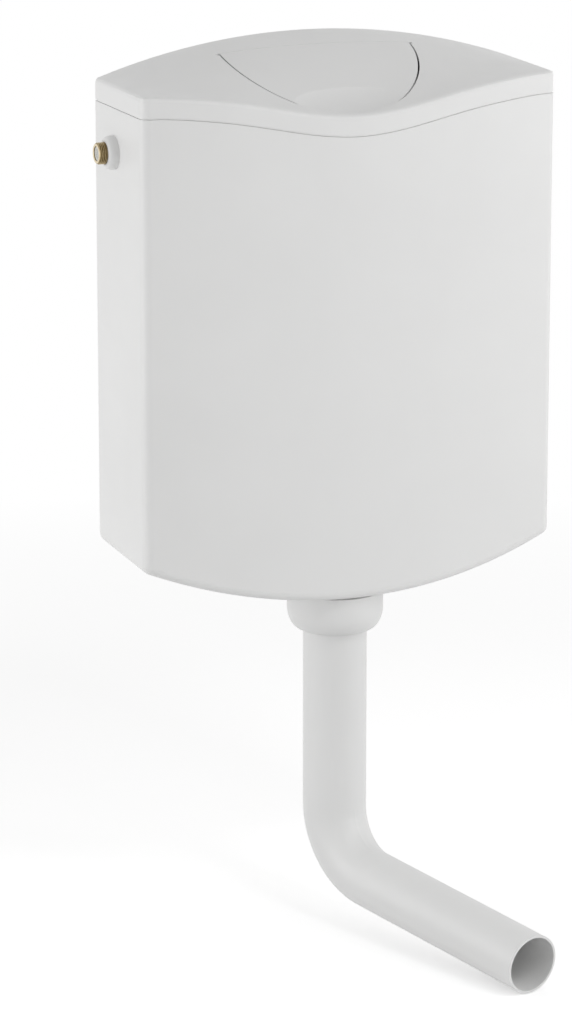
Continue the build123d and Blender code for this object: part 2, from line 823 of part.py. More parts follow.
with BuildPart() as inlet_tail:
    add(inlet_ring(thread_radius, inlet_bore_radius, side_out - inlet_stub, side_in + inlet_inside))
    chamfer(inlet_tail.edges().group_by(Axis.X)[0].sort_by(SortBy.RADIUS)[-1], inlet_chamfer)
    relief_floor = thread_radius - inlet_relief_depth
    relief_end = side_out - inlet_nut_thickness
    relief_start = relief_end - inlet_relief_width
    add(inlet_ring(thread_radius + overrun, relief_floor, relief_start, relief_end), mode=Mode.SUBTRACT)
save(inlet_tail, "inlet_tail")

inlet_axis = Axis((side_out, -inlet_from_wall, inlet_height), (1, 0, 0))
with BuildPart() as inlet_lock_nut:
    nut_bore = thread_radius + piece_gap
    with BuildSketch(Plane(origin=inlet_axis.position, x_dir=(-1, 0, 0), z_dir=(0, 0, 1))):
        with BuildLine():
            Polyline((0, nut_bore), (0, inlet_nut_radius), (inlet_nut_straight, inlet_nut_radius))
            EllipticalCenterArc(
                (inlet_nut_straight, inlet_nut_nose_radius),
                inlet_nut_thickness - inlet_nut_straight,
                inlet_nut_radius - inlet_nut_nose_radius,
                start_angle=0,
                arc_size=quarter_turn,
            )
            Polyline(
                (inlet_nut_thickness, inlet_nut_nose_radius),
                (inlet_nut_thickness, nut_bore),
                (0, nut_bore),
            )
        make_face()
    revolve(axis=inlet_axis)
save(inlet_lock_nut, "inlet_lock_nut")

washer_in = side_in + inlet_washer_thickness
with BuildPart() as inlet_washer:
    add(inlet_ring(inlet_washer_radius, thread_radius + piece_gap, side_in, washer_in))
save(inlet_washer, "inlet_washer")

# Fill valve body, with its outlet stub and the ears for the float arm
barrel_start = washer_in + shoulder_thickness
barrel_end = barrel_start + barrel_length
chamber_start = barrel_end - chamber_depth
outlet_x = barrel_start + outlet_place
pivot_height = inlet_height - arm_pivot_drop
nose_x = barrel_end + piston_nose_out
pivot_x = nose_x + piston_nose_radius + piece_gap + arm_finger_half
hub_half = arm_hub_width / 2
ear_in = hub_half + arm_ear_gap
ear_out = ear_in + arm_ear_thickness

with BuildPart() as arm_ears:
    with BuildSketch(Plane.XZ.offset(inlet_from_wall - ear_out)):
        with Locations((pivot_x, pivot_height)):
            Circle(arm_hub_radius)
        with BuildLine():
            Polyline(
                (barrel_end - 2 * arm_hub_radius, inlet_height),
                (barrel_end, inlet_height),
                (pivot_x + arm_hub_radius, pivot_height),
                (pivot_x, pivot_height - arm_hub_radius),
                (barrel_end - 2 * arm_hub_radius, pivot_height + arm_hub_radius),
                close=True,
            )
        make_face()
    extrude(amount=2 * ear_out)
    with BuildSketch(Plane.XZ.offset(inlet_from_wall - ear_in)):
        with Locations((pivot_x, pivot_height)):
            Rectangle(tank_width, side_height)
    extrude(amount=2 * ear_in, mode=Mode.SUBTRACT)

with BuildPart() as fill_valve_body:
    add(inlet_ring(shoulder_radius, 0, washer_in, barrel_start))
    add(inlet_ring(barrel_radius, 0, barrel_start, barrel_end))
    add(arm_ears.part)
    outlet_top = inlet_height - barrel_radius
    with BuildSketch(Plane.XY.offset(outlet_top - outlet_stub_length)):
        with Locations((outlet_x, -inlet_from_wall)):
            Circle(outlet_stub_radius)
    extrude(amount=outlet_stub_length + barrel_radius / 2)
    socket_end = side_in + inlet_inside
    add(inlet_ring(thread_radius + running_fit, 0, washer_in, socket_end), mode=Mode.SUBTRACT)
    add(inlet_ring(passage_radius, 0, washer_in, chamber_start), mode=Mode.SUBTRACT)
    add(inlet_ring(chamber_radius, 0, chamber_start, barrel_end), mode=Mode.SUBTRACT)
    with BuildSketch(Plane.XY.offset(outlet_top - outlet_stub_length)):
        with Locations((outlet_x, -inlet_from_wall)):
            Circle(outlet_stub_bore)
    extrude(amount=outlet_stub_length + barrel_radius, mode=Mode.SUBTRACT)
    with BuildSketch(Plane.XZ.offset(inlet_from_wall - ear_out)):
        with Locations((pivot_x, pivot_height)):
            Circle(arm_pin_radius + running_fit)
    extrude(amount=2 * ear_out, mode=Mode.SUBTRACT)
save(fill_valve_body, "fill_valve_body")

silencer_top = outlet_top - outlet_stub_length + outlet_socket_length
with BuildPart() as silencer_tube:
    with BuildSketch(Plane.XY.offset(silencer_top - silencer_length)):
        with Locations((outlet_x, -inlet_from_wall)):
            Circle(silencer_radius)
            Circle(silencer_radius - silencer_wall, mode=Mode.SUBTRACT)
    extrude(amount=silencer_length)
save(silencer_tube, "silencer_tube")

# Piston and its washer, drawn back from the seat because the float hangs low
washer_start = chamber_start + piston_washer_gap + piston_travel
piston_start = washer_start + piston_washer_thickness
piston_end = barrel_end - piece_gap + piston_travel
piston_radius = chamber_radius - piston_gap
with BuildPart() as piston_washer:
    add(inlet_ring(piston_radius - piece_gap, 0, washer_start, piston_start))
save(piston_washer, "piston_washer")

with BuildPart() as valve_piston:
    add(inlet_ring(piston_radius, 0, piston_start, piston_end))
    add(inlet_ring(piston_nose_radius, 0, piston_end, nose_x + piston_travel))
    with Locations((nose_x + piston_travel, -inlet_from_wall, inlet_height)):
        Sphere(piston_nose_radius)
save(valve_piston, "valve_piston")

# Float arm, float and adjusting screw, made level about the pivot and then swung down to where
# the float hangs in an empty tank
arm_place = Location((pivot_x, -inlet_from_wall, pivot_height), (0, float_swing, 0))
arm_top = arm_bar_thickness / 2

with BuildPart() as level_arm:
    with BuildSketch(Plane.XZ.offset(-hub_half)):
        Circle(arm_hub_radius)
    extrude(amount=2 * hub_half)
    with BuildSketch(Plane.XZ.offset(-arm_bar_width / 2)):
        Rectangle(arm_reach, arm_bar_thickness, align=(Align.MIN, Align.CENTER))
        Rectangle(2 * arm_finger_half, arm_pivot_drop + arm_finger_top, align=(Align.CENTER, Align.MIN))
    extrude(amount=arm_bar_width)
    with BuildSketch(Plane.XY.offset(-arm_top)):
        with Locations((arm_reach, 0)):
            Circle(arm_boss_radius)
    extrude(amount=arm_bar_thickness)
    with BuildSketch(Plane.XZ.offset(-hub_half)):
        Circle(arm_pin_radius + running_fit)
    extrude(amount=2 * hub_half, mode=Mode.SUBTRACT)
    with BuildSketch(Plane.XY.offset(-arm_top)):
        with Locations((arm_reach, 0)):
            Circle(screw_radius + running_fit)
    extrude(amount=arm_bar_thickness, mode=Mode.SUBTRACT)

with BuildPart() as float_arm:
    with Locations(arm_place):
        add(level_arm.part)
save(float_arm, "float_arm")

with BuildPart() as arm_pivot_pin:
    with BuildSketch(Plane.XZ.offset(inlet_from_wall - ear_out)):
        with Locations((pivot_x, pivot_height)):
            Circle(arm_pin_radius)
    extrude(amount=2 * ear_out)
save(arm_pivot_pin, "arm_pivot_pin")

with BuildPart() as level_float:
    with BuildSketch(Plane.XY.offset(-float_drop - float_height)):
        with Locations((arm_reach, inlet_from_wall - float_from_wall)):
            Rectangle(float_length, float_width)
    extrude(amount=float_height)
    fillet(level_float.edges(), float_edge_radius)
    with BuildSketch(Plane.XY.offset(-float_drop - screw_depth)):
        with Locations((arm_reach, 0)):
            Circle(screw_radius + running_fit)
    extrude(amount=screw_depth, mode=Mode.SUBTRACT)

with BuildPart() as water_float:
    with Locations(arm_place):
        add(level_float.part)
save(water_float, "water_float")

with BuildPart() as level_screw:
    shank_bottom = -float_drop - screw_depth + piece_gap
    with BuildSketch(Plane.XY.offset(shank_bottom)):
        with Locations((arm_reach, 0)):
            Circle(screw_radius)
    extrude(amount=arm_top - shank_bottom)
    with BuildSketch(Plane.XY.offset(arm_top)):
        with Locations((arm_reach, 0)):
            Circle(screw_head_radius)
    extrude(amount=screw_head_thickness)
    with BuildSketch(Plane.XY.offset(arm_top + screw_head_thickness / 2)):
        with Locations((arm_reach, 0)):
            Rectangle(2 * screw_head_radius, screw_radius / 2)
    extrude(amount=screw_head_thickness, mode=Mode.SUBTRACT)

with BuildPart() as float_adjusting_screw:
    with Locations(arm_place):
        add(level_screw.part)
save(float_adjusting_screw, "float_adjusting_screw")

# Lever, its bracket on the back wall and its pin
fork_in = tube_radius + fork_gap
fork_out = fork_in + fork_arm_width
lever_half = fork_out + lever_gap
ear_face = lever_half + ear_gap
ear_back = ear_face + ear_thickness
lever_side = Plane.XZ.offset(outlet_from_wall)

with BuildPart() as fork_arms:
    with BuildSketch(lever_side.offset(fork_in)):
        with Locations(((fork_nose_place + lever_pin_place) / 2, lever_pin_height)):
            SlotCenterToCenter(lever_pin_place - fork_nose_place, lever_thickness)
    extrude(amount=fork_arm_width)
    mirror(about=lever_side)

with BuildPart() as flush_lever:
    with BuildSketch(lever_side.offset(-lever_half)):
        with Locations((lever_pin_place, lever_pin_height)):
            Circle(lever_hub_radius)
    extrude(amount=2 * lever_half)
    with BuildSketch(lever_side.offset(-lever_pad_width / 2)):
        with Locations((lever_pin_place, lever_pin_height)):
            Rectangle(lever_pad_length, lever_thickness, align=(Align.MIN, Align.CENTER))
    extrude(amount=lever_pad_width)
    add(fork_arms.part)
    with BuildSketch(lever_side.offset(-lever_half)):
        with Locations((lever_pin_place, lever_pin_height)):
            Circle(lever_pin_radius + running_fit)
    extrude(amount=2 * lever_half, mode=Mode.SUBTRACT)
save(flush_lever, "flush_lever")

deck_bottom = lever_pin_height - deck_drop
deck_front = outlet_from_wall + ear_back
with BuildPart() as bracket_ears:
    with BuildSketch(lever_side.offset(ear_face)):
        with Locations((lever_pin_place, lever_pin_height)):
            Circle(ear_half_width)
            Rectangle(2 * ear_half_width, deck_drop, align=(Align.CENTER, Align.MAX))
    extrude(amount=ear_thickness)
    mirror(about=lever_side)

with BuildPart() as lever_bracket:
    with BuildSketch(Plane.XY.offset(deck_bottom)):
        with Locations((lever_pin_place, -tank_wall)):
            Rectangle(2 * deck_half_width, deck_front - tank_wall, align=(Align.CENTER, Align.MAX))
    extrude(amount=deck_thickness)
    with BuildSketch(Plane.XZ.offset(tank_wall)):
        with Locations((lever_pin_place, deck_bottom - back_plate_bottom)):
            plate_height = back_plate_bottom + back_plate_top
            Rectangle(2 * back_plate_half_width, plate_height, align=(Align.CENTER, Align.MIN))
    extrude(amount=back_plate_thickness)
    with BuildSketch(Plane.YZ.offset(lever_pin_place - web_thickness / 2)):
        with BuildLine():
            Polyline(
                (-tank_wall, deck_bottom),
                (-deck_front, deck_bottom),
                (-tank_wall, deck_bottom - web_height),
                close=True,
            )
        make_face()
    extrude(amount=web_thickness)
    add(bracket_ears.part)
    with BuildSketch(lever_side.offset(-ear_back)):
        with Locations((lever_pin_place, lever_pin_height)):
            Circle(lever_pin_radius + running_fit)
    extrude(amount=2 * ear_back, mode=Mode.SUBTRACT)
save(lever_bracket, "lever_bracket")

with BuildPart() as lever_pivot_pin:
    with BuildSketch(lever_side.offset(-ear_back)):
        with Locations((lever_pin_place, lever_pin_height)):
            Circle(lever_pin_radius)
    extrude(amount=2 * ear_back)
    with BuildSketch(lever_side.offset(ear_back)):
        with Locations((lever_pin_place, lever_pin_height)):
            Circle(pin_head_radius)
    extrude(amount=pin_head_thickness)
save(lever_pivot_pin, "lever_pivot_pin")

# Places that the joints and mounts use
print("button hinge", 0, -hinge_from_wall, hinge_height)
print("lever pivot", lever_pin_place, -outlet_from_wall, lever_pin_height)
print("float arm pivot", pivot_x, -inlet_from_wall, pivot_height)
print("inlet stub end", side_out - inlet_stub, -inlet_from_wall, inlet_height)
print("pipe end", leg_end, "way", leg_way)
print("tank low", tank_low, "nut bottom", nut_bottom)
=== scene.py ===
"""A wall-hung toilet cistern with its flush pipe, lit as in the photograph. All lengths are in metres."""
import json
import math

import bmesh
import bpy
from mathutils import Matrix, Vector


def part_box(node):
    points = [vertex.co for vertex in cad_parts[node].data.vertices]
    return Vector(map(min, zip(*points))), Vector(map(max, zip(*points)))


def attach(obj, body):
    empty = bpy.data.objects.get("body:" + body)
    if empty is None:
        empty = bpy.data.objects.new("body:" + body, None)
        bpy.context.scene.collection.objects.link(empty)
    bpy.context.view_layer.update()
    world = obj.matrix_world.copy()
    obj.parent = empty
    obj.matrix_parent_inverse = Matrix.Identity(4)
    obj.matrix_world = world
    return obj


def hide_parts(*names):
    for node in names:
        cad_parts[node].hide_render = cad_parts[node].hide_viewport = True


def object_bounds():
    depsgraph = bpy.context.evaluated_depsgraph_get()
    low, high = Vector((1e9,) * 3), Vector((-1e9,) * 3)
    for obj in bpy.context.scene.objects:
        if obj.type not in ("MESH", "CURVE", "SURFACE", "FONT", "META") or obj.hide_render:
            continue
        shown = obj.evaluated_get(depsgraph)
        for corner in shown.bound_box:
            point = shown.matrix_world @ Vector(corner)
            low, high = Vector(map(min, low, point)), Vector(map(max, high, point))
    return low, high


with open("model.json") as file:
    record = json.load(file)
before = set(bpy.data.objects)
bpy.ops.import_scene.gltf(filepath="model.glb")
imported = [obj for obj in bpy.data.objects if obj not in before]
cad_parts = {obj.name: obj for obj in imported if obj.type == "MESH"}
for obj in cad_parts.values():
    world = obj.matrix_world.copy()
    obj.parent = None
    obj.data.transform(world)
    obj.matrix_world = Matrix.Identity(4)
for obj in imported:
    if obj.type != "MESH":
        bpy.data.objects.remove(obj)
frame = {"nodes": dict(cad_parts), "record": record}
cad_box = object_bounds()
nodes = frame["nodes"]

# Brass inlet: a G3/8 pipe thread on a stub with an open bore
THREAD_PITCH = 0.001337
THREAD_DEPTH = 0.00086
THREAD_END = 0.0061  # from the stub's open end
RELIEF_WIDTH = 0.0005
RELIEF_DEPTH = 0.0005
STUB_CHAMFER = 0.001
BORE_RADIUS = 0.0055
BORE_CHAMFER = 0.0003
TURN_STEPS = 96
PITCH_STEPS = 12

# Filter disc in the inlet's bore: a hub, bands with slots in every other one, and a plain rim
FILTER_PLACE = 0.0009  # from the stub's open end
FILTER_THICKNESS = 0.0008
FILTER_HUB = 0.0007
FILTER_BAND = 0.0006
FILTER_BANDS = 5
FILTER_SECTORS = 32

# Strip on the tank's rim, under the lid
RIM_LOW = 0.0185  # every face of the rim is above this
RIM_FACING = 0.5  # a face of the rim has at least this much of its normal upwards
WELD = 0.000001  # points of the tank's mesh nearer than this are one
STRIP_INSET = 0.0006  # from both faces of the wall
STRIP_SINK = 0.00005  # into the rim
STRIP_TOP = 0.0001  # above the rim

SHARP_ANGLE = math.radians(35.0)  # edges that turn by more than this stay sharp

# Camera, as fitted to the photograph
EYE = Vector((-1.34128, -3.24912, 0.60516))
EYE_AZIMUTH = math.radians(-22.233)
EYE_DIP = math.radians(14.427)
LENS = 161.297
SENSOR = 36.0
VIEW_REACH = 100.0

# Stage
FLOOR_GAP = 0.0008  # between the pipe's lowest point and the floor
FLOOR_REACH = 20.0
FLOOR_NEAR = 0.7  # from the point under the origin, where the floor's shadow starts to fade
FLOOR_FAR = 1.3
FLOOR_TONE = (0.8, 0.8, 0.8)
SHADOW_TONE = (0.95, 0.95, 0.95)
SHADOW_LIFT = 0.35
WHITE = (1.0, 1.0, 1.0)
WHITE_LEVEL = 1.0  # the strength at which a surface or the sky shows as white
SKY_LEVEL = 0.49

# Lamps: name, azimuth and elevation in degrees, distance, size, and level. A level of 1 lights a
# surface that faces the lamp to its own colour.
AIM = Vector((0.0, -0.06, -0.2))
LAMPS = (
    ("left", -100.0, 5.0, 1.7, 1.2, 0.33),
    ("left_front", -70.0, 5.0, 2.0, 1.0, 0.05),
    ("right_front", 20.0, 10.0, 1.7, 0.8, 0.075),
    ("right", 45.0, 12.0, 1.5, 1.0, 0.22),
    ("right_side", 80.0, 8.0, 1.3, 1.0, 0.085),
    ("high_front", 11.0, 46.0, 2.4, 0.5, 0.1),
)

# Materials. A scale or grain is about how many spots of noise lie along a metre, a depth is the
# height of the bump, and a pair of roughnesses is what the noise runs between. A noise's share is
# how strong each octave is beside the one before it.
NOISE_LOW = 0.3  # most of the noise lies between these two
NOISE_HIGH = 0.7
FINE_NOISE = 3.0  # octaves
SKIN_NOISE = 4.0
PATCHY_NOISE = 5.0

# Moulded plastics: colour, grain, roughnesses, and how far the colour strays
PLASTICS = {
    "white_shell": ((0.80, 0.80, 0.795), 700.0, (0.36, 0.46), 0.015),
    "white_pipe": ((0.785, 0.785, 0.78), 900.0, (0.36, 0.46), 0.015),
    "grey_valve": ((0.30, 0.31, 0.33), 700.0, (0.4, 0.55), 0.05),
    "pale_valve": ((0.66, 0.66, 0.63), 700.0, (0.4, 0.55), 0.04),
    "blue_lever": ((0.05, 0.14, 0.33), 700.0, (0.35, 0.5), 0.06),
}
PLASTIC_CLOUD_SCALE = 9.0
PLASTIC_GLOSS_SCALE = 55.0
PLASTIC_SKIN_SHARE = 0.6
PLASTIC_DEPTH = 0.00002
PLASTIC_IOR = 1.47

RUBBER_CLEAN = (0.016, 0.016, 0.017)
RUBBER_DUSTY = (0.05, 0.05, 0.048)
DUST_START = 0.35  # of the noise
DUST_END = 0.75
DUST_SCALE = 180.0
DUST_SHARE = 0.7
RUBBER_ROUGHNESSES = (0.62, 0.85)
RUBBER_GRAIN = 900.0
RUBBER_DEPTH = 0.00004

FOAM_MIDDLE = (0.80, 0.80, 0.77)
FOAM_EDGE = (0.66, 0.66, 0.63)
FOAM_CELL_SCALE = 420.0
FOAM_CELL_REACH = 0.8  # how far a cell reaches from its middle, as a share of its size
FOAM_ROUGHNESSES = (0.7, 0.9)
FOAM_DEPTH = 0.0002

# The thread's colours hold painted light: the colour darkens towards the roots as painted shade in the
# grooves, and the whole thread is painted darker than the cut end as a painted dim reflection.
THREAD_ROOT_PAINTED_SHADE = (0.21, 0.16, 0.08)
THREAD_CREST_PAINTED_DIM = (0.44, 0.35, 0.2)
CUT_BRASS = (0.72, 0.62, 0.44)
CUT_SHADE = 0.92  # of the cut end's darker patches
CUT_DEPTH = BORE_CHAMFER / 4  # how deep the pale cut goes before it turns dull
TARNISH_SCALE = 600.0
TARNISH_SHARE = 0.65
TARNISH_SHIFT = 0.15
BRASS_ROUGHNESSES = (0.46, 0.3)
TURNING_SCALE = 300.0
TURNING_STRETCH = (8.0, 0.4, 0.4)

STEEL_DARK = (0.50, 0.51, 0.52)
STEEL_BRIGHT = (0.66, 0.66, 0.67)
STEEL_ROUGHNESSES = (0.22, 0.38)
DRAWING_SCALE = 260.0
DRAWING_STRETCH = (1.0, 9.0, 9.0)

METAL_DEPTH = 0.00001

# Sockets of a Mix node that mixes colours. Their names aren't unique, so they go by number.
MIX_FIRST = 6
MIX_SECOND = 7
MIX_RESULT = 2


def place_camera():
    """The camera at the photograph's viewpoint."""
    data = bpy.data.cameras.new("camera")
    data.lens = LENS
    data.sensor_width = SENSOR
    data.sensor_fit = "AUTO"
    data.clip_end = VIEW_REACH
    camera = bpy.data.objects.new("camera", data)
    camera.location = EYE
    camera.rotation_euler = (math.pi / 2 - EYE_DIP, 0.0, EYE_AZIMUTH)
    bpy.context.scene.collection.objects.link(camera)
    bpy.context.scene.camera = camera


def add_lamp(name, azimuth, elevation, distance, size, level):
    """A square area lamp that looks at the cistern from a given side."""
    turn = math.radians(azimuth)
    rise = math.radians(elevation)
    reach = math.cos(rise)
    away = Vector((math.sin(turn) * reach, -math.cos(turn) * reach, math.sin(rise)))
    data = bpy.data.lights.new(name, "AREA")
    data.shape = "SQUARE"
    data.size = size
    data.energy = level * math.pi**2 * distance**2
    lamp = bpy.data.objects.new("lamp_" + name, data)
    lamp.location = AIM + away * distance
    lamp.rotation_euler = away.to_track_quat("Z", "Y").to_euler()
    bpy.context.scene.collection.objects.link(lamp)


def inlet():
    """The brass inlet's open end and inner end in X, its axis in Y and Z, and its outer radius."""
    low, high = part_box("inlet_tail")
    axis = ((low[1] + high[1]) / 2, (low[2] + high[2]) / 2)
    return low[0], high[0], axis, (high[1] - low[1]) / 2


class Graph:
    """A node tree under construction."""

    def __init__(self, tree):
        self.tree = tree
        tree.nodes.clear()

    def add(self, kind, **values):
        """A new node, with some of its properties set."""
        node = self.tree.nodes.new(kind)
        for key, value in values.items():
            setattr(node, key, value)
        return node

    def join(self, source, target):
        self.tree.links.new(source, target)

    def mix(self, first, second, factor=None):
        """Two shaders mixed by a factor, or added up where there is none."""
        node = self.add("ShaderNodeAddShader" if factor is None else "ShaderNodeMixShader")
        if factor is not None:
            self.join(factor, node.inputs["Fac"])
        self.join(first, node.inputs[-2])
        self.join(second, node.inputs[-1])
        return node.outputs["Shader"]

    def seen(self):
        """1 where a ray comes from the camera, a mirror or glass."""
        path = self.add("ShaderNodeLightPath")
        total = path.outputs["Is Camera Ray"]
        for name in ("Is Glossy Ray", "Is Transmission Ray"):
            node = self.add("ShaderNodeMath", operation="MAXIMUM")
            self.join(total, node.inputs[0])
            self.join(path.outputs[name], node.inputs[1])
            total = node.outputs["Value"]
        return total


class Shader(Graph):
    """A node material under construction."""

    def __init__(self, name):
        self.material = bpy.data.materials.new(name)
        self.material.use_nodes = True
        super().__init__(self.material.node_tree)
        self.place = self.add("ShaderNodeTexCoord").outputs["Object"]

    def noise(self, scale, detail, roughness=0.5, stretch=(1.0, 1.0, 1.0)):
        """Noise over the object's own coordinates, stretched by a factor along each axis."""
        mapping = self.add("ShaderNodeMapping")
        mapping.inputs["Scale"].default_value = stretch
        self.join(self.place, mapping.inputs["Vector"])
        node = self.add("ShaderNodeTexNoise")
        node.inputs["Scale"].default_value = scale
        node.inputs["Detail"].default_value = detail
        node.inputs["Roughness"].default_value = roughness
        self.join(mapping.outputs["Vector"], node.inputs["Vector"])
        return node.outputs["Fac"]

    def spread(self, source, low, high, start=NOISE_LOW, end=NOISE_HIGH):
        """A number from low to high that follows a source going from start to end."""
        node = self.add("ShaderNodeMapRange")
        node.inputs["From Min"].default_value = start
        node.inputs["From Max"].default_value = end
        node.inputs["To Min"].default_value = low
        node.inputs["To Max"].default_value = high
        self.join(source, node.inputs["Value"])
        return node.outputs["Result"]

    def ramp(self, source, first, second, start=NOISE_LOW, end=NOISE_HIGH):
        """A colour from first to second that follows a source going from start to end."""
        node = self.add("ShaderNodeValToRGB")
        for element, position, colour in zip(node.color_ramp.elements, (start, end), (first, second)):
            element.position = position
            element.color = (*colour, 1.0)
        self.join(source, node.inputs["Fac"])
        return node.outputs["Color"]

    def stir(self, source, cloud, shift):
        """A source that a cloud of noise shifts up or down by up to a given amount."""
        drift = self.spread(cloud, -shift, shift)
        total = self.add("ShaderNodeMath", operation="ADD")
        self.join(source, total.inputs[0])
        self.join(drift, total.inputs[1])
        return total.outputs["Value"]

    def surface(self, colour, roughness, height, depth, **sockets):
        """The finished material, with bump from a height and other sockets set by name."""
        shader = self.add("ShaderNodeBsdfPrincipled")
        for name, value in sockets.items():
            shader.inputs[name].default_value = value
        self.join(colour, shader.inputs["Base Color"])
        self.join(roughness, shader.inputs["Roughness"])
        bump = self.add("ShaderNodeBump")
        bump.inputs["Distance"].default_value = depth
        self.join(height, bump.inputs["Height"])
        self.join(bump.outputs["Normal"], shader.inputs["Normal"])
        return self.close(shader.outputs["BSDF"])

    def close(self, shader):
        """The material, with a shader joined to its output."""
        output = self.add("ShaderNodeOutputMaterial")
        self.join(shader, output.inputs["Surface"])
        return self.material


def tone(colour, factor):
    """A colour made lighter or darker."""
    return tuple(min(1.0, part * factor) for part in colour)


def moulded(name, colour, grain, roughnesses, stray):
    """Moulded plastic: a faint cloudiness, a fine skin and uneven gloss."""
    shader = Shader(name)
    cloud = shader.noise(PLASTIC_CLOUD_SCALE, FINE_NOISE)
    return shader.surface(
        shader.ramp(cloud, tone(colour, 1 - stray), tone(colour, 1 + stray)),
        shader.spread(shader.noise(PLASTIC_GLOSS_SCALE, FINE_NOISE), *roughnesses),
        shader.noise(grain, SKIN_NOISE, PLASTIC_SKIN_SHARE),
        PLASTIC_DEPTH,
        IOR=PLASTIC_IOR,
    )


def rubber(name):
    """Black rubber with a matt, slightly dusty skin."""
    shader = Shader(name)
    dust = shader.noise(DUST_SCALE, PATCHY_NOISE, DUST_SHARE)
    return shader.surface(
        shader.ramp(dust, RUBBER_CLEAN, RUBBER_DUSTY, DUST_START, DUST_END),
        shader.spread(dust, *RUBBER_ROUGHNESSES),
        shader.noise(RUBBER_GRAIN, FINE_NOISE),
        RUBBER_DEPTH,
    )


def foam(name):
    """Closed-cell foam: small rounded cells."""
    shader = Shader(name)
    cells = shader.add("ShaderNodeTexVoronoi")
    cells.inputs["Scale"].default_value = FOAM_CELL_SCALE
    shader.join(shader.place, cells.inputs["Vector"])
    away = cells.outputs["Distance"]
    return shader.surface(
        shader.ramp(away, FOAM_MIDDLE, FOAM_EDGE, 0.0, FOAM_CELL_REACH),
        shader.spread(away, *FOAM_ROUGHNESSES, 0.0, FOAM_CELL_REACH),
        away,
        FOAM_DEPTH,
    )


def brass(name):
    """Turned brass: pale on the stub's cut end; the thread is painted darker as a painted dim reflection,
    with painted shade darkest at its roots.
    """
    shader = Shader(name)
    start, _, axis, crest = inlet()
    flat = shader.add("ShaderNodeVectorMath", operation="MULTIPLY")
    flat.inputs[1].default_value = (0.0, 1.0, 1.0)
    shader.join(shader.place, flat.inputs[0])
    away = shader.add("ShaderNodeVectorMath", operation="DISTANCE")
    away.inputs[1].default_value = (0.0, *axis)
    shader.join(flat.outputs["Vector"], away.inputs[0])
    along = shader.add("ShaderNodeSeparateXYZ")
    shader.join(shader.place, along.inputs["Vector"])
    tarnish = shader.noise(TARNISH_SCALE, PATCHY_NOISE, TARNISH_SHARE)
    # Painted shade: the thread's colour runs from the crest colour down to a darker root colour by distance
    # from the axis.
    rise = shader.spread(away.outputs["Value"], 0.0, 1.0, crest - THREAD_DEPTH, crest)
    stirred = shader.stir(rise, tarnish, TARNISH_SHIFT)
    painted_thread_shade = shader.ramp(stirred, THREAD_ROOT_PAINTED_SHADE, THREAD_CREST_PAINTED_DIM, 0.0, 1.0)
    bright = shader.ramp(tarnish, tone(CUT_BRASS, CUT_SHADE), CUT_BRASS)
    cut = shader.spread(along.outputs["X"], 1.0, 0.0, start + CUT_DEPTH, start + BORE_CHAMFER)
    colour = shader.add("ShaderNodeMix", data_type="RGBA")
    shader.join(cut, colour.inputs["Factor"])
    shader.join(painted_thread_shade, colour.inputs[MIX_FIRST])
    shader.join(bright, colour.inputs[MIX_SECOND])
    turning = shader.noise(TURNING_SCALE, FINE_NOISE, stretch=TURNING_STRETCH)
    roughness = shader.spread(tarnish, *BRASS_ROUGHNESSES)
    return shader.surface(colour.outputs[MIX_RESULT], roughness, turning, METAL_DEPTH, Metallic=1.0)


def steel(name):
    """Stainless steel with faint draw marks."""
    shader = Shader(name)
    marks = shader.noise(DRAWING_SCALE, SKIN_NOISE, stretch=DRAWING_STRETCH)
    colour = shader.ramp(marks, STEEL_DARK, STEEL_BRIGHT)
    roughness = shader.spread(marks, *STEEL_ROUGHNESSES)
    return shader.surface(colour, roughness, marks, METAL_DEPTH, Metallic=1.0)


MATERIALS = {name: moulded(name, *finish) for name, finish in PLASTICS.items()}
MATERIALS["black_rubber"] = rubber("black_rubber")
MATERIALS["foam"] = foam("foam")
MATERIALS["brass"] = brass("brass")
MATERIALS["steel"] = steel("steel")


def dress_nodes():
    """Gives each CAD node the material of its slot."""
    for part in frame["record"]["subparts"]:
        mesh = nodes[part["node"]].data
        mesh.materials.clear()
        mesh.materials.append(MATERIALS[part["material_slot"]])


def new_piece(name, work, slot, body):
    """A piece made from finished mesh work, with its material, its slot and the body it rides on."""
    mesh = bpy.data.meshes.new(name)
    bmesh.ops.recalc_face_normals(work, faces=work.faces)
    work.to_mesh(mesh)
    work.free()
    for face in mesh.polygons:
        face.use_smooth = True
    mesh.set_sharp_from_angle(angle=SHARP_ANGLE)
    mesh.materials.append(MATERIALS[slot])
    piece = bpy.data.objects.new(name, mesh)
    bpy.context.scene.collection.objects.link(piece)
    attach(piece, body)
    return piece


def ring(work, x, axis, radius, steps=TURN_STEPS):
    """A closed ring of points round an axis along X; radius is a number or follows the turn from 0 to 1."""
    points = []
    for step in range(steps):
        turn = step / steps
        angle = 2 * math.pi * turn
        reach = radius(turn) if callable(radius) else radius
        y = axis[0] + reach * math.cos(angle)
        z = axis[1] + reach * math.sin(angle)
        points.append(work.verts.new((x, y, z)))
    return points


def bridge(work, first, second, slotted=False):
    """Faces between two rings, with every other one left out where it is slotted."""
    steps = range(len(first))
    for step in steps[1::2] if slotted else steps:
        after = (step + 1) % len(steps)
        work.faces.new((first[step], first[after], second[after], second[step]))


def thicken(work, shift):
    """Makes a sheet of faces into a closed solid that reaches as far as the shift."""
    grown = bmesh.ops.extrude_face_region(work, geom=list(work.faces), use_keep_orig=True)
    moved = [item for item in grown["geom"] if isinstance(item, bmesh.types.BMVert)]
    bmesh.ops.translate(work, verts=moved, vec=shift)


def groove(along, crest, limit):
    """The thread's radius round one turn, at a place along the stub and never above a limit."""
    def radius(turn):
        wave = (1 - math.cos(2 * math.pi * (along / THREAD_PITCH + turn))) / 2
        return min(crest - THREAD_DEPTH * wave, limit)
    return radius


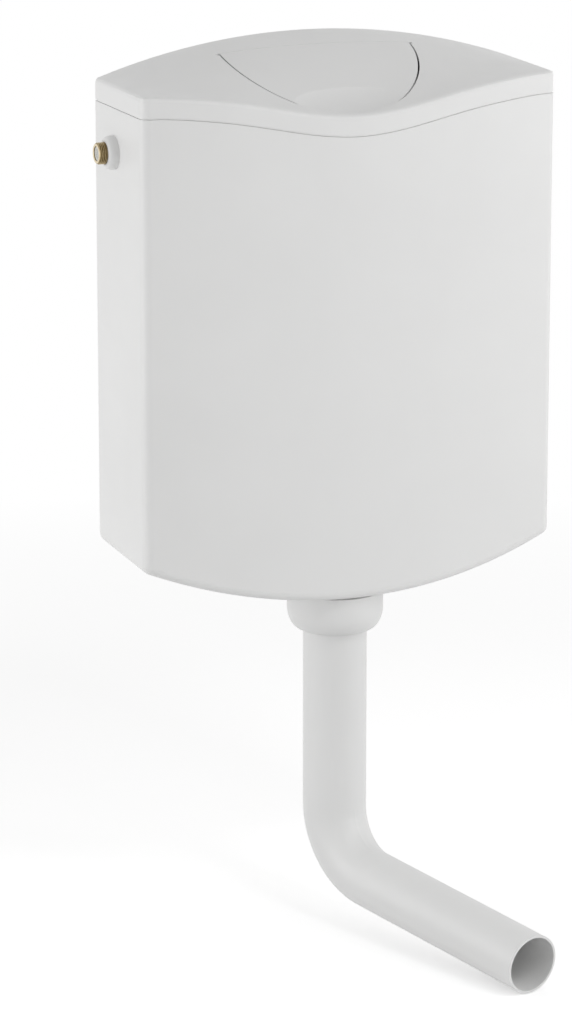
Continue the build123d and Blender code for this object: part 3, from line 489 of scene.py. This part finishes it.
def make_thread():
    """The brass inlet tail with its real thread outside the tank."""
    start, end, axis, crest = inlet()
    work = bmesh.new()
    rings = []
    length = THREAD_END + RELIEF_WIDTH
    count = round(length / THREAD_PITCH * PITCH_STEPS)
    for step in range(count + 1):
        along = length * step / count
        limit = crest - max(0.0, STUB_CHAMFER - along)
        if along > THREAD_END:
            limit = crest - RELIEF_DEPTH
        rings.append(ring(work, start + along, axis, groove(along, crest, limit)))
    plain = (
        (start + length, crest),
        (end, crest),
        (end, BORE_RADIUS),
        (start + BORE_CHAMFER, BORE_RADIUS),
        (start, BORE_RADIUS + BORE_CHAMFER),
    )
    for x, radius in plain:
        rings.append(ring(work, x, axis, radius))
    for first, second in zip(rings, rings[1:] + rings[:1]):
        bridge(work, first, second)
    piece = new_piece("inlet_thread", work, "brass", "cistern")
    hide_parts("inlet_tail")


def make_filter():
    """The pale disc with fine slots that keeps grit out of the inlet's bore."""
    start, _, axis, _ = inlet()
    work = bmesh.new()
    x = start + FILTER_PLACE
    radii = [FILTER_HUB + FILTER_BAND * band for band in range(FILTER_BANDS + 1)]
    rings = [ring(work, x, axis, radius, FILTER_SECTORS) for radius in (*radii, BORE_RADIUS)]
    work.faces.new(rings[0])
    for band, (first, second) in enumerate(zip(rings, rings[1:])):
        bridge(work, first, second, slotted=band % 2 == 0)
    thicken(work, (FILTER_THICKNESS, 0.0, 0.0))
    new_piece("inlet_filter", work, "pale_valve", "cistern")


def make_rim_strip():
    """A thin white strip on the tank's rim, set back from both faces of the wall."""
    work = bmesh.new()
    work.from_mesh(nodes["tank"].data)
    bmesh.ops.remove_doubles(work, verts=work.verts, dist=WELD)
    others = []
    for face in work.faces:
        lowest = min(point.co.z for point in face.verts)
        if face.normal.z < RIM_FACING or lowest < RIM_LOW:
            others.append(face)
    bmesh.ops.delete(work, geom=others, context="FACES")
    edge = bmesh.ops.inset_region(work, faces=list(work.faces), thickness=STRIP_INSET, use_even_offset=True)
    bmesh.ops.delete(work, geom=edge["faces"], context="FACES")
    bmesh.ops.translate(work, verts=work.verts, vec=(0.0, 0.0, -STRIP_SINK))
    thicken(work, (0.0, 0.0, STRIP_TOP + STRIP_SINK))
    new_piece("rim_strip", work, "white_shell", "cistern")


def light_world():
    """A dim even sky that the camera sees as white."""
    world = bpy.data.worlds.new("world")
    world.use_nodes = True
    graph = Graph(world.node_tree)

    def sky(strength):
        node = graph.add("ShaderNodeBackground")
        node.inputs["Color"].default_value = (*WHITE, 1.0)
        node.inputs["Strength"].default_value = strength
        return node.outputs["Background"]

    whole = graph.mix(sky(SKY_LEVEL), sky(WHITE_LEVEL), graph.seen())
    output = graph.add("ShaderNodeOutputWorld")
    graph.join(whole, output.inputs["Surface"])
    bpy.context.scene.world = world


def floor_material():
    """A pale floor that shows white, with the cistern's soft shadow near it."""
    shader = Shader("floor")

    def diffuse(colour):
        node = shader.add("ShaderNodeBsdfDiffuse")
        node.inputs["Color"].default_value = (*colour, 1.0)
        return node.outputs["BSDF"]

    def glow(strength):
        node = shader.add("ShaderNodeEmission")
        node.inputs["Strength"].default_value = strength
        return node.outputs["Emission"]

    length = shader.add("ShaderNodeVectorMath", operation="LENGTH")
    shader.join(shader.place, length.inputs[0])
    fade = shader.spread(length.outputs["Value"], 0.0, 1.0, FLOOR_NEAR, FLOOR_FAR)
    near = shader.mix(diffuse(SHADOW_TONE), glow(SHADOW_LIFT))
    shown = shader.mix(near, glow(WHITE_LEVEL), fade)
    return shader.close(shader.mix(diffuse(FLOOR_TONE), shown, shader.seen()))


def lay_floor():
    """The floor under the pipe's lowest point."""
    mesh = bpy.data.meshes.new("floor")
    work = bmesh.new()
    bmesh.ops.create_grid(work, x_segments=1, y_segments=1, size=FLOOR_REACH)
    work.to_mesh(mesh)
    work.free()
    floor = bpy.data.objects.new("floor", mesh)
    floor.location = (0.0, 0.0, cad_box[0][2] - FLOOR_GAP)
    mesh.materials.append(floor_material())
    bpy.context.scene.collection.objects.link(floor)


place_camera()
light_world()
for lamp in LAMPS:
    add_lamp(*lamp)
lay_floor()
dress_nodes()
make_thread()
make_filter()
make_rim_strip()

bpy.context.scene.view_settings.view_transform = "Standard"
